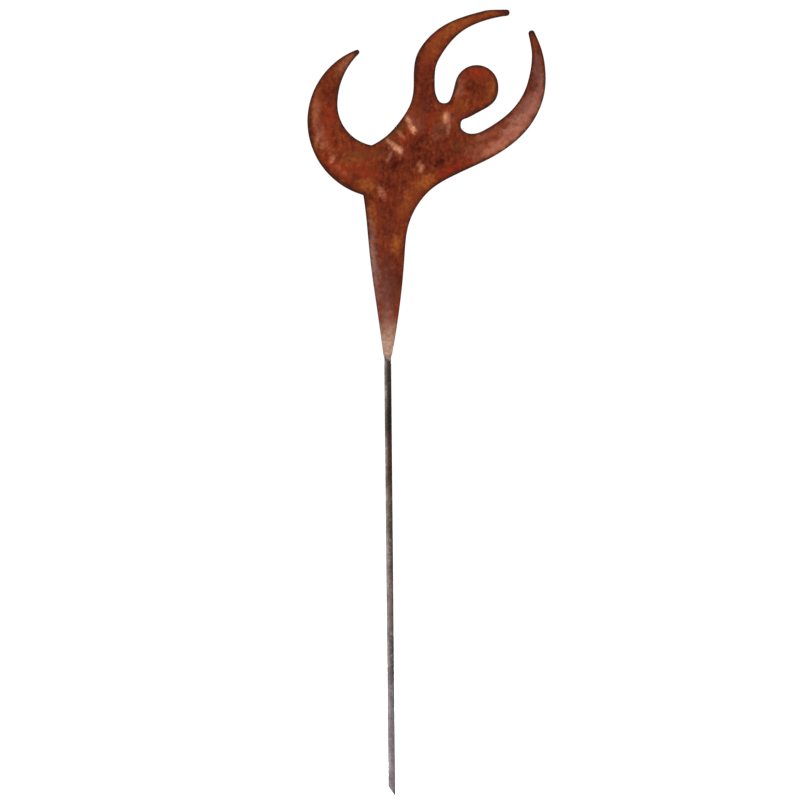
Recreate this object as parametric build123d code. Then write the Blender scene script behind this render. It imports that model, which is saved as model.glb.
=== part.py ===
from build123d import *
import math
import os

# A garden stake: a dancing figure cut from flat steel plate, welded to a thin round steel rod.
# Millimetres, +Z up, the figure's front faces -Y. The origin is on the rod's axis, level with
# the soil that the rod is pushed into.

# ---- driving dimensions ------------------------------------------------------------------
figure_height = 311.0      # from the foot of the stem to the top of the raised arm
plate_thickness = 3.0      # 11 gauge sheet
stem_foot_width = 7.5      # the stem's blunt lower end
inside_cut = 1.5           # radius that the cutting jet leaves in an inside corner
foot_corner = 1.0          # radius at the two corners of the stem's foot

rod_diameter = 6.35        # quarter-inch round bar
rod_length = 457.0         # 18 inch, from the lowest point of its foot to its upper end
ground_depth = 160.0       # how much of the rod goes into the soil
foot_cut_angle = 55.0      # slant of the rod's sheared foot, in degrees from level
lap_length = 60.0          # how far the rod runs up behind the stem
ground_off = 0.175         # taken off the rod's radius there, to clean it for welding
end_chamfer = 0.5          # broken edge round the rod's upper end

bead_radius = 1.9          # the beads on the back
bead_standoff = 0.5        # a bead's middle line stands off the rod and the plate by this
stitch_length = 11.0       # one bead beside the rod, from end to end
stitch_gap = 8.0           # bare steel between two beads on the same side
stitch_top_gap = 4.0       # from the rod's upper end down to the highest bead
stitches_per_side = 2
foot_weld_drop = 6.0       # how far the bead under the stem's foot runs down the rod
shoulder_gap = 1.5         # from that bead down to where the full-size rod begins

# ---- places that follow from them --------------------------------------------------------
rod_radius = rod_diameter / 2
lap_radius = rod_radius - ground_off
rod_foot = -ground_depth
rod_top = rod_foot + rod_length
stem_foot = rod_top - lap_length
shoulder = stem_foot - foot_weld_drop - shoulder_gap
plate_back = -lap_radius                       # y of the plate's back face
plate_front = plate_back - plate_thickness     # y of its front face

UP, DOWN, RIGHT = (0, 1), (0, -1), (1, 0)


# ---- the figure's outline ----------------------------------------------------------------
# A place is (x, height above the stem's foot) as drawn for a figure 311 mm tall. The drawing
# is enlarged or reduced to figure_height; the stem's foot keeps its own width.
drawn_height = 311.0


def drawn(*places):
    enlarge = figure_height / drawn_height
    return [(x * enlarge, height * enlarge) for x, height in places]


def arc(start, middle, end):
    return ThreePointArc(*drawn(start, middle, end))


def curve(*places, leave, arrive):
    return Spline(*drawn(*places), tangents=(leave, arrive))


hip = (-20.6, 145.1)              # the crescent springs from the stem here
crescent_tip = ((-25.2, 276.2), (-22.9, 275.0), (-23.4, 272.4))
crescent_hollow = (-42.9, 226.5)  # deepest place of the crescent's inner edge
crotch = (-12.6, 190.0)           # the crescent meets the waist here
waist_bend = (25.8, 247.0)        # the waist turns into the left arm here
left_tip = ((110.6, 311.0), (113.0, 308.2), (110.8, 305.4))
left_arm_hollow = (44.9, 244.0)
neck_pit = (53.2, 227.2)          # bottom of the gap between the left arm and the neck
head_left = (63.7, 247.0)
head_top = (82.3, 261.3)
head_right = (102.2, 241.0)
slot_end = (67.9, 206.8)          # closed end of the slot under the chin
arm_pit = (77.8, 199.5)
right_tip = ((129.6, 289.5), (132.4, 292.1), (135.2, 290.4))
right_arm_out = (144.9, 248.5)    # widest place of the right arm
underarm = (60.0, 161.3)          # the right arm's straight edge ends here
stem_right = (16.5, 94.0)
arm_slope = (-0.905, -0.43)       # direction of that straight edge
neck_slope = (0.3, 1)
stem_slope = (-0.09, -1)


def figure_outline():
    half_foot = stem_foot_width / 2
    foot_left, foot_right = (-half_foot, 0), (half_foot, 0)
    return [
        Spline(foot_left, *drawn((-10.0, 48.0), (-15.2, 90.0), (-18.7, 130.0), hip)),
        arc(hip, (-70.3, 212.0), crescent_tip[0]),
        arc(*crescent_tip),
        arc(crescent_tip[2], (-37.8, 251.4), crescent_hollow),
        arc(crescent_hollow, (-34.3, 202.9), crotch),
        curve(crotch, (3.0, 200.2), (17.0, 216.8), waist_bend, leave=(1, 0.44), arrive=UP),
        curve(waist_bend, (29.4, 272.0), (45.3, 291.6), (67.7, 303.8), (89.0, 309.9),
              left_tip[0], leave=UP, arrive=RIGHT),
        arc(*left_tip),
        curve(left_tip[2], (91.0, 301.4), (66.3, 288.9), (48.9, 266.8), left_arm_hollow,
              leave=(-1, -0.1), arrive=DOWN),
        curve(left_arm_hollow, (47.2, 231.6), neck_pit, leave=DOWN, arrive=RIGHT),
        curve(neck_pit, (59.0, 231.6), head_left, leave=RIGHT, arrive=neck_slope),
        arc(head_left, head_top, head_right),
        curve(head_right, (98.7, 228.8), (83.0, 218.3), (72.6, 213.2), slot_end,
              leave=DOWN, arrive=DOWN),
        curve(slot_end, (70.7, 201.9), arm_pit, leave=DOWN, arrive=RIGHT),
        curve(arm_pit, (90.0, 203.2), (112.1, 218.7), (126.7, 240.0), (132.4, 266.0),
              right_tip[0], leave=RIGHT, arrive=(-0.2, 1)),
        arc(*right_tip),
        curve(right_tip[2], (141.7, 273.8), right_arm_out, leave=(0.45, -1), arrive=DOWN),
        curve(right_arm_out, (139.5, 222.0), (123.6, 198.2), (100.8, 180.8), underarm,
              leave=DOWN, arrive=arm_slope),
        curve(underarm, (34.9, 144.1), (20.4, 118.8), stem_right,
              leave=arm_slope, arrive=stem_slope),
        Spline(*drawn(stem_right, (12.0, 49.0)), foot_right),
        Line(foot_right, foot_left),
    ]


def nearest(vertices, place):
    return min(vertices, key=lambda vertex: math.dist((vertex.X, vertex.Y), place))


def make_figure_plate():
    drawing = make_face(figure_outline())
    inside = [nearest(drawing.vertices(), place) for place in drawn(hip, crotch)]
    drawing = fillet(inside, inside_cut)
    half_foot = stem_foot_width / 2
    corners = [nearest(drawing.vertices(), (side * half_foot, 0)) for side in (-1, 1)]
    drawing = fillet(corners, foot_corner)
    back = Plane(origin=(0, plate_back, stem_foot), x_dir=(1, 0, 0), z_dir=(0, -1, 0))
    return extrude(back * drawing, plate_thickness)


def make_stake_rod():
    level = (Align.CENTER, Align.CENTER, Align.MIN)
    full = Pos(0, 0, rod_foot) * Cylinder(rod_radius, shoulder - rod_foot, align=level)
    lap = Pos(0, 0, shoulder) * Cylinder(lap_radius, rod_top - shoulder, align=level)
    rod = full + lap
    rod = chamfer(rod.edges().sort_by(Axis.Z)[-1], end_chamfer)
    slant = math.radians(foot_cut_angle)
    cut = Plane(origin=(rod_radius, 0, rod_foot), x_dir=(0, 1, 0),
                z_dir=(math.sin(slant), 0, math.cos(slant)))
    return split(rod, bisect_by=cut, keep=Keep.TOP)


def bead(start, end):
    """A straight bead with rounded ends; start and end are its tips."""
    start, end = Vector(*start), Vector(*end)
    along = (end - start).normalized() * bead_radius
    path = Line(start + along, end - along)
    run = Solid.make_cylinder(bead_radius, path.length, Plane(path @ 0, z_dir=path % 0))
    ball = Sphere(bead_radius)
    return Location(path @ 0) * ball + Location(path @ 1) * ball + run


def trimmed(weld, plate, rod):
    """The part of a bead that is neither inside the plate nor inside the rod."""
    return weld - plate - rod


def make_stitch_welds(plate, rod):
    """Short beads in the corner between the rod and the plate's back, on both sides."""
    x = lap_radius + bead_standoff
    y = plate_back + bead_standoff
    welds = {}
    for side, side_name in ((-1, "left"), (1, "right")):
        top = rod_top - stitch_top_gap
        for number in range(stitches_per_side):
            place = ("upper", "lower")[number]
            stitch = bead((side * x, y, top - stitch_length), (side * x, y, top))
            welds[f"weld_{side_name}_{place}"] = trimmed(stitch, plate, rod)
            top -= stitch_length + stitch_gap
    return welds


def make_top_weld(plate, rod):
    """A bead across the rod's upper end, where it stops against the plate's back."""
    y = plate_back + bead_standoff
    z = rod_top + bead_standoff
    across = bead((-lap_radius, y, z), (lap_radius, y, z))
    return trimmed(across, plate, rod)


def make_foot_weld(plate, rod):
    """The dressed bead under the stem's foot, which fills the step from plate to rod."""
    lump = scale(Sphere(1), by=(stem_foot_width / 2, -plate_front, foot_weld_drop))
    below = Box(stem_foot_width, -plate_front, foot_weld_drop,
                align=(Align.CENTER, Align.MAX, Align.MAX))
    return trimmed(Pos(0, 0, stem_foot) * (lump & below), plate, rod)


def make_parts():
    plate = make_figure_plate()
    rod = make_stake_rod()
    parts = {"figure_plate": plate, "stake_rod": rod}
    parts["weld_foot"] = make_foot_weld(plate, rod)
    parts["weld_top"] = make_top_weld(plate, rod)
    parts.update(make_stitch_welds(plate, rod))
    return parts


os.makedirs("parts", exist_ok=True)
for name, solid in make_parts().items():
    export_step(solid, f"parts/{name}.step")
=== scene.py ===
# %% [markdown]
# # A rusted dancer on a garden stake
# The real object is a dancing figure burned out of flat steel sheet and welded to a thin round
# steel rod, which is pushed into a flower bed. Nothing on it moves, and nothing is painted: all
# its colour is rust, so the work is in the steel's surface.
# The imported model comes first. It fixes every size, and each piece that is made here lies
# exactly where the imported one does.

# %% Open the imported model
import math

import bmesh
import bpy
import numpy as np
from mathutils import Matrix, Vector, noise
from mathutils.geometry import delaunay_2d_cdt
from mathutils.kdtree import KDTree


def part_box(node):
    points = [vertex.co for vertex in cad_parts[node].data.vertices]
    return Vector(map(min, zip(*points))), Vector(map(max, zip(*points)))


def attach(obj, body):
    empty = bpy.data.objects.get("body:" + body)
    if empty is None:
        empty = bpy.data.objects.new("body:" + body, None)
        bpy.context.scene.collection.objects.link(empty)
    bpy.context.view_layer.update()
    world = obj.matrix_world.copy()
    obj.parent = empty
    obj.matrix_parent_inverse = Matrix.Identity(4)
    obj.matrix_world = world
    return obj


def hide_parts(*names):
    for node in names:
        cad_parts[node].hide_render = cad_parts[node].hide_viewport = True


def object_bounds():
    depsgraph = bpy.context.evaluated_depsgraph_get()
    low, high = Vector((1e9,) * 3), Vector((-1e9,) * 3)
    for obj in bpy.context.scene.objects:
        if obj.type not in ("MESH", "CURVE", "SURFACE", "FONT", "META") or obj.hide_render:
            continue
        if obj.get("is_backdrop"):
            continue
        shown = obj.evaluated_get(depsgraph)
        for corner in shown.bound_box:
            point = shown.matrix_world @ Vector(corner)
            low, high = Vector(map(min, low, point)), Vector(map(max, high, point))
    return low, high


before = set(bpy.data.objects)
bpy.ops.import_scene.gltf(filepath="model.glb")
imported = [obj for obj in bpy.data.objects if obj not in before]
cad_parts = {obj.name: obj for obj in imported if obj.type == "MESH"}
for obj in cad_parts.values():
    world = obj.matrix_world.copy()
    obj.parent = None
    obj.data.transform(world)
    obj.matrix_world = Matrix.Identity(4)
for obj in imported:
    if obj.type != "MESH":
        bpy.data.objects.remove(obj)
cad_low, cad_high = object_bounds()
MM = 0.001                     # the model is in metres, and a smith thinks in millimetres
print("packed pieces:", ", ".join(sorted(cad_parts)))
print("box in mm:", [round(v / MM, 1) for v in (*cad_low, *cad_high)])


# %% [markdown]
# ## The camera
# The figure is flat, so it is shown straight from the front, from half-way up its height. A long
# lens from four metres away keeps the rod as wide at its foot as at its top; a short lens close
# by would bend the proportions. The stake leans very slightly to the left.

# %% Stand the camera in front
def box_in_mm(node_name):
    low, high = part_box(node_name)
    return np.array(low) / MM, np.array(high) / MM


plate_low, plate_high = box_in_mm("figure_plate")
plate_front, plate_back = plate_low[1], plate_high[1]

view_width = 720.8             # what the picture takes in at the plate, in mm
view_centre_x, view_centre_z = 10.75, 197.2
lens_length, film_width = 200.0, 36.0
lean = math.radians(0.56)
halfway = (plate_front + plate_back) / 2      # half-way through the plate
aim = Vector((view_centre_x, halfway, view_centre_z)) * MM

camera_data = bpy.data.cameras.new("camera")
camera_data.lens, camera_data.sensor_width = lens_length, film_width
camera = bpy.data.objects.new("camera", camera_data)
bpy.context.scene.collection.objects.link(camera)
bpy.context.scene.camera = camera
stand_off = view_width * MM * lens_length / film_width
look = Matrix.Rotation(math.radians(90), 4, "X") @ Matrix.Rotation(-lean, 4, "Z")
camera.matrix_world = Matrix.Translation(aim - Vector((0, stand_off, 0))) @ look
print(f"camera {stand_off:.2f} m in front of the plate")


# %% [markdown]
# ## The studio
# A rusty surface has no strong reflections, so it is its relief that needs the light. One big
# soft lamp at the upper left does most of the work, a weaker one on the right opens the shadows,
# and a third one behind serves whoever walks round the object. Floor and surroundings are
# white, so that nothing but the stake has any colour.

# %% Three soft lamps
figure_middle = Vector((0.03, 0, 0.3))


def hang_lamp(name, place, size, brightness):
    """A square soft lamp that looks at the figure. brightness is how bright it makes white
    paper that faces it, where 1 is pure white."""
    lamp_data = bpy.data.lights.new(name, "AREA")
    lamp_data.size = size
    lamp = bpy.data.objects.new(name, lamp_data)
    lamp.location = place
    towards = figure_middle - lamp.location
    lamp.rotation_euler = towards.to_track_quat("-Z", "Y").to_euler()
    lamp_data.energy = brightness * math.pi ** 2 * towards.length_squared
    lamp.visible_camera = False
    bpy.context.scene.collection.objects.link(lamp)
    print(f"{name}: {lamp_data.energy:.0f} W at {towards.length:.1f} m")


hang_lamp("key_lamp", (-2.2, -2.5, 2.1), 1.3, 0.62)
hang_lamp("fill_lamp", (2.4, -2.6, 0.9), 1.8, 0.10)
hang_lamp("back_lamp", (1.9, 2.7, 2.0), 1.3, 0.62)


# %% [markdown]
# ## Small networks
# World and materials are networks of nodes in Blender. Two helpers keep them readable: one plugs
# something into a socket, either another node's output or a plain value, and one adds a node and
# plugs in all that it needs.

# %% Helpers that add nodes
def plug(tree, socket, value):
    if isinstance(value, bpy.types.NodeSocket):
        tree.links.new(value, socket)
    else:
        socket.default_value = value


def add(tree, kind, sockets=(), **settings):
    """A new node. sockets are pairs of a socket's name or number and what goes into it."""
    made = tree.nodes.new("ShaderNode" + kind)
    for setting, value in settings.items():
        setattr(made, setting, value)
    for socket, value in sockets:
        plug(tree, made.inputs[socket], value)
    return made


# %% [markdown]
# ## Surroundings
# The world does two jobs. It lights the steel softly from everywhere, and it is the white that is
# seen behind it. Both at one strength would wash the rust out, so a Light Path node gives the eye
# a brighter world than the steel gets.

# %% White surroundings
white = (1, 1, 1, 1)
surroundings = 0.42            # light that comes from everywhere
backdrop = 1.06                # a touch over white, so that no grain shows

world = bpy.data.worlds.new("white_studio")
bpy.context.scene.world = world
world.use_nodes = True
tree = world.node_tree
light = tree.nodes["Background"]
plug(tree, light.inputs["Color"], white)
plug(tree, light.inputs["Strength"], surroundings)
view = add(tree, "Background", [("Color", white), ("Strength", backdrop)])
to_the_eye = add(tree, "LightPath").outputs["Is Camera Ray"]
chosen = add(tree, "MixShader", [(0, to_the_eye), (1, light.outputs[0]), (2, view.outputs[0])])
plug(tree, tree.nodes["World Output"].inputs["Surface"], chosen.outputs[0])
print(f"surroundings light with {surroundings} and are seen at {backdrop}")


# %% [markdown]
# ## Floor
# The floor is a wide disc of white paper at the level of the stake's foot. It needs no gloss. Its
# own glow is for the eye only, so it doesn't light the steel from below, and seen from underneath
# it is clear, so a low view still shows the stake.

# %% A paper floor
floor_radius, floor_glow = 30, 0.8        # radius in metres

floor_mesh = bpy.data.meshes.new("floor")
floor_shape = bmesh.new()
bmesh.ops.create_circle(floor_shape, cap_ends=True, segments=96, radius=floor_radius)
floor_shape.to_mesh(floor_mesh)
floor_shape.free()
floor = bpy.data.objects.new("floor", floor_mesh)
floor.location = (0, 0, cad_low.z)
bpy.context.scene.collection.objects.link(floor)
floor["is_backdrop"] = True

floor_paper = bpy.data.materials.new("floor_paper")
floor_paper.use_nodes = True
tree = floor_paper.node_tree
paper = tree.nodes["Principled BSDF"]
to_the_eye = add(tree, "LightPath").outputs["Is Camera Ray"]
glow = add(tree, "Math", [(0, to_the_eye), (1, floor_glow)], operation="MULTIPLY").outputs[0]
for socket, value in (("Base Color", (0.95, 0.95, 0.95, 1)), ("Roughness", 1.0),
                      ("Specular IOR Level", 0.0), ("Emission Color", white),
                      ("Emission Strength", glow)):
    plug(tree, paper.inputs[socket], value)
from_below = add(tree, "NewGeometry").outputs["Backfacing"]
clear = add(tree, "BsdfTransparent").outputs[0]
one_sided = add(tree, "MixShader", [(0, from_below), (1, paper.outputs[0]), (2, clear)])
plug(tree, tree.nodes["Material Output"].inputs["Surface"], one_sided.outputs[0])
floor_mesh.materials.append(floor_paper)
print(f"floor at {cad_low.z / MM:.0f} mm")

bpy.context.scene.view_settings.view_transform = "Standard"


# %% [markdown]
# ## Chance, but the same every time
# Hand-cut and rusted steel is uneven everywhere. The unevenness comes from Blender's own noise,
# which gives a smooth value for any place and never changes from run to run. Every helper here
# works in millimetres. Nearly every shape is a stack of rings, so the faces between two rings and
# the cap on a last ring are helpers too.

# %% Helpers for uneven shapes
def uneven(places, size, seed=0, octaves=3):
    """A smooth value from about -1 to 1 at each place. size is the width of its bumps."""
    shift = Vector((17.3, 5.1, 9.7)) * seed
    return np.array([noise.fractal(Vector(place) / size + shift, 0.8, 2.0, octaves)
                     for place in places])


def ease(value, start, end):
    """0 below start, 1 above end, and a soft curve between them."""
    t = np.clip((np.asarray(value, float) - start) / (end - start), 0, 1)
    return t * t * (3 - 2 * t)


def strip(lower, upper, count):
    """Faces between two closed rings of count places each, numbered from lower and upper on."""
    return [(lower + i, lower + j, upper + j, upper + i)
            for i, j in ((i, (i + 1) % count) for i in range(count))]


def cap(ring_start, middle, count, turned=False):
    """Triangles from a closed ring to one place in its middle."""
    pairs = [(i, (i + 1) % count) for i in range(count)]
    return [(ring_start + (j if turned else i), ring_start + (i if turned else j), middle)
            for i, j in pairs]


def make_piece(name, places, faces, **paints):
    """A smooth-shaded object from places in mm. Each of paints is one number for each place."""
    mesh = bpy.data.meshes.new(name)
    mesh.from_pydata((np.asarray(places, float) * MM).tolist(), [], faces)
    for paint_name, amounts in paints.items():
        layer = mesh.attributes.new(paint_name, "FLOAT", "POINT")
        layer.data.foreach_set("value", np.asarray(amounts, np.float32))
    mesh.shade_smooth()
    piece = bpy.data.objects.new(name, mesh)
    bpy.context.scene.collection.objects.link(piece)
    print(f"{name}: {len(places)} places, {len(faces)} faces")
    return piece


# %% [markdown]
# ## The line that the torch followed
# The figure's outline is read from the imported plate: it is the chain of edges between its front
# face and its side wall. It could be drawn again by hand, but then it would never lie quite on
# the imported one.

# %% Read the outline
def read_outline(plate):
    """The places of the outline in order, as (x, z) with the steel on the left."""
    shape = bmesh.new()
    shape.from_mesh(plate.data)
    bmesh.ops.remove_doubles(shape, verts=shape.verts, dist=1e-6)
    shape.normal_update()

    def in_front(face):
        return face.normal.y < -0.99

    neighbours = {}
    for edge in shape.edges:
        first, second = edge.link_faces
        if in_front(first) != in_front(second):
            for place in edge.verts:
                neighbours.setdefault(place, []).append(edge.other_vert(place))
    chain = [next(iter(neighbours))]
    onward = neighbours[chain[0]][0]
    while onward is not chain[0]:
        chain.append(onward)
        onward = next(place for place in neighbours[onward] if place is not chain[-2])
    outline = np.array([(place.co.x, place.co.z) for place in chain]) / MM
    shape.free()
    x, z = outline.T
    if np.sum(x * np.roll(z, -1) - np.roll(x, -1) * z) < 0:
        outline = outline[::-1]
    return outline


outline = read_outline(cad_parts["figure_plate"])
print(f"outline: {len(outline)} places on the packed plate")


# %% [markdown]
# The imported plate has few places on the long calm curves, so a curve is laid through them, and
# then it is divided into equal short steps. Each piece of the curve leaves a place in the
# direction from the place before it to the place after it.

# %% Smooth the outline
def smooth_outline(outline, step, finest=0.1):
    """The same line in equal steps, and how far along it each place is."""
    through = np.roll(outline, -1, 0) - np.roll(outline, 1, 0)
    through /= np.linalg.norm(through, axis=1, keepdims=True)
    fine = []
    for here, there, leave, arrive in zip(outline, np.roll(outline, -1, 0),
                                          through, np.roll(through, -1, 0)):
        length = np.linalg.norm(there - here)
        t = np.arange(0, 1, finest / length)[:, None]
        fine.append((2 * t**3 - 3 * t**2 + 1) * here + (3 * t**2 - 2 * t**3) * there
                    + length * ((t**3 - 2 * t**2 + t) * leave + (t**3 - t**2) * arrive))
    fine = np.vstack(fine + [outline[:1]])
    way = np.r_[0, np.cumsum(np.linalg.norm(np.diff(fine, axis=0), axis=1))]
    count = round(way[-1] / step)
    along = np.linspace(0, way[-1], count, endpoint=False)
    return np.c_[np.interp(along, way, fine[:, 0]), np.interp(along, way, fine[:, 1])], along


cut_step = 0.6
cut_line, along_cut = smooth_outline(outline, cut_step)
cut_length = along_cut[-1] + cut_step
heading = np.roll(cut_line, -1, 0) - np.roll(cut_line, 1, 0)
heading /= np.linalg.norm(heading, axis=1, keepdims=True)
outward = np.c_[heading[:, 1], -heading[:, 0]]
print(f"cut line: {len(cut_line)} places, {cut_length:.0f} mm of cut")


# %% [markdown]
# ## The burned edge
# A cutting jet leaves its own marks: the front arris is a little rounded, the wall has fine drag
# lines that trail behind the jet, and on the back small beads of slag cling to the edge. Each is
# shape rather than paint, because the edge is what the eye meets first from the side. The wall
# is built as a stack of rows that follow the cut line, each at its own depth and its own
# distance inside the line.

# %% Rows from the front face over the edge to the back face
front_round, back_round = 0.40, 0.25      # radii of the two arrises
rim_inset = 0.85                          # the wall's rows end this far inside the face
thickness = plate_back - plate_front
first_wall_row, wall_spacing = 0.75, 0.4


def quarter_round(radius, steps):
    """Inset and depth of places on a rounded arris, from the face to the wall."""
    turns = np.linspace(0, math.pi / 2, steps + 1)
    return [(radius * (1 - math.sin(t)), radius * (1 - math.cos(t))) for t in turns]


row_plan = [(rim_inset, 0.0)] + quarter_round(front_round, 4)
row_plan += [(0.0, depth) for depth in np.arange(first_wall_row, thickness - back_round - 0.1,
                                                 wall_spacing)]
row_plan += [(inset, thickness - depth) for inset, depth in reversed(quarter_round(back_round, 3))]
row_plan += [(rim_inset, thickness)]

wave_count = round(cut_length / 2.3)      # drag lines that are wide enough to be shaped
sway_depth, drag_depth, slag_height = 0.09, 0.035, 0.55
drag_curl = 0.5                           # how far the lines trail behind the jet


def edge_row(inset, depth):
    """One row round the whole figure. Slag hangs only on the last rows, at the back."""
    x, z = cut_line.T
    places = np.c_[x, np.full(len(x), depth * 1.5), z]
    on_wall = 1 - min(inset / rim_inset, 1)
    trail = along_cut + drag_curl * depth**2
    ripple = 0.5 + 0.5 * np.sin(2 * math.pi * wave_count * trail / cut_length)
    sway = sway_depth * (0.5 + 0.5 * uneven(places, 11, seed=1)) \
        + drag_depth * ripple * depth / thickness
    slag = slag_height * np.clip(uneven(places, 2.6, seed=2) - 0.12, 0, 1) \
        * ease(depth, thickness - 0.3, thickness)
    moved = cut_line - outward * (inset + sway * on_wall)[:, None]
    return np.c_[moved[:, 0], plate_front + depth + slag * (inset < 0.5), moved[:, 1]]


rows = [edge_row(inset, depth) for inset, depth in row_plan]
print(f"edge: {len(rows)} rows, drag lines every {cut_length / wave_count:.2f} mm")


# %% [markdown]
# ## The two faces
# A flat cut-out could be one big polygon, but then it could carry neither relief nor painted
# colour. So the inside of the line is sown with places in a honeycomb, one millimetre apart, and
# Blender's Delaunay fill joins them into even triangles. The front and the back share one fill.

# %% Sow the faces and join them to the rows
honeycomb = 1.0


def honeycomb_inside(line, spacing):
    """Places of a honeycomb that lie inside a closed line."""
    low, high = line.min(0), line.max(0)
    depth = spacing * math.sqrt(3) / 2
    grid = np.array([(x + (row % 2) * spacing / 2, z)
                     for row, z in enumerate(np.arange(low[1], high[1], depth))
                     for x in np.arange(low[0], high[0], spacing)])
    inside = np.zeros(len(grid), bool)
    for (x1, z1), (x2, z2) in zip(line, np.roll(line, -1, 0)):
        crossed = (z1 > grid[:, 1]) != (z2 > grid[:, 1])
        reach = (x2 - x1) * (grid[crossed, 1] - z1) / (z2 - z1) + x1 if crossed.any() else 0
        inside[crossed] ^= grid[crossed, 0] < reach
    return grid[inside]


def finder(line):
    tree = KDTree(len(line))
    for index, (x, z) in enumerate(line):
        tree.insert((x, z, 0), index)
    tree.balance()
    return tree


def distance_to(tree, places):
    """How far each place is from the nearest place that the finder holds."""
    return np.array([tree.find((x, z, 0))[2] for x, z in places])


face_line = rows[0][:, [0, 2]]
sown = honeycomb_inside(face_line, honeycomb)
clearance = 0.6 * honeycomb               # nothing is sown closer to the line than this
sown = sown[distance_to(finder(face_line), sown) > clearance]
face_places = np.vstack([face_line, sown])
ring = len(face_line)
fill = delaunay_2d_cdt([Vector(place) for place in face_places],
                       [(i, (i + 1) % ring) for i in range(ring)], [], 1, 1e-7)
original = [sources[0] for sources in fill[3]]
triangles = [[original[corner] for corner in face] for face in fill[2]]
print(f"faces: {len(sown)} places sown, {len(triangles)} triangles on each side")


# %% [markdown]
# ## Relief
# Rolled sheet that has stood in the rain isn't flat: it has shallow waves from the mill and
# pocks where the rust has eaten in. Everything goes inwards from the true face, never outwards,
# so the plate keeps its packed size.

# %% Push the faces in and build the plate
wave_depth, pock_depth = 0.10, 0.30


def relief(places, seed):
    waves = wave_depth * (0.5 + 0.5 * uneven(places, 16, seed))
    pocks = pock_depth * np.clip(uneven(places, 3.6, seed + 1) - 0.22, 0, 1)
    return waves + pocks


front_inner = np.c_[sown[:, 0], np.full(len(sown), plate_front), sown[:, 1]]
back_inner = np.c_[sown[:, 0], np.full(len(sown), plate_back), sown[:, 1]]
front_inner[:, 1] += relief(front_inner, 3)
back_inner[:, 1] -= relief(back_inner, 6)
rows[0][:, 1] += relief(rows[0], 3)
rows[-1][:, 1] -= relief(rows[-1], 6)
plate_places = np.vstack(rows + [front_inner, back_inner])

last_row = (len(rows) - 1) * ring
front_start = last_row + ring
back_start = front_start + len(sown)
plate_faces = []
for start in range(0, last_row, ring):
    plate_faces += strip(start + ring, start, ring)
for triangle in triangles:
    plate_faces.append([k if k < ring else k - ring + front_start for k in triangle])
    plate_faces.append([last_row + k if k < ring else k - ring + back_start
                        for k in reversed(triangle)])
print(f"plate: {len(plate_places)} places")


# %% [markdown]
# ## Where the rust has which colour
# Rust is never one colour. Young rust is orange, old rust is maroon to violet, dust on it looks
# rosy, and bare scale is nearly black. Each tone is sponged on in patches: a patch has a place, a
# length, a width and a turn, and its edge is broken by noise. The amounts are stored on the mesh,
# one number for each place, and the material mixes its colours by them. That keeps the places
# under control, which pure noise can't, and the noise still gives the fine grain.

# %% A brush for patches
def sponge(places, patches, seed, ragged):
    """How much of a tone each place gets. A patch is (x, height above the stem's foot, half
    its length, half its width, turn of its length from level in degrees, strength)."""
    x, z = places[:, 0], places[:, 2] - plate_low[2]
    rough = ragged * uneven(places, 4.0, seed, octaves=5)
    amount = np.zeros(len(places))
    for cx, cz, length, width, turn, strength in patches:
        c, s = math.cos(math.radians(turn)), math.sin(math.radians(turn))
        u = ((x - cx) * c + (z - cz) * s) / length
        v = ((z - cz) * c - (x - cx) * s) / width
        amount = np.maximum(amount, strength * (1 - ease(np.hypot(u, v) + rough, 0.15, 1.35)))
    return amount
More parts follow.
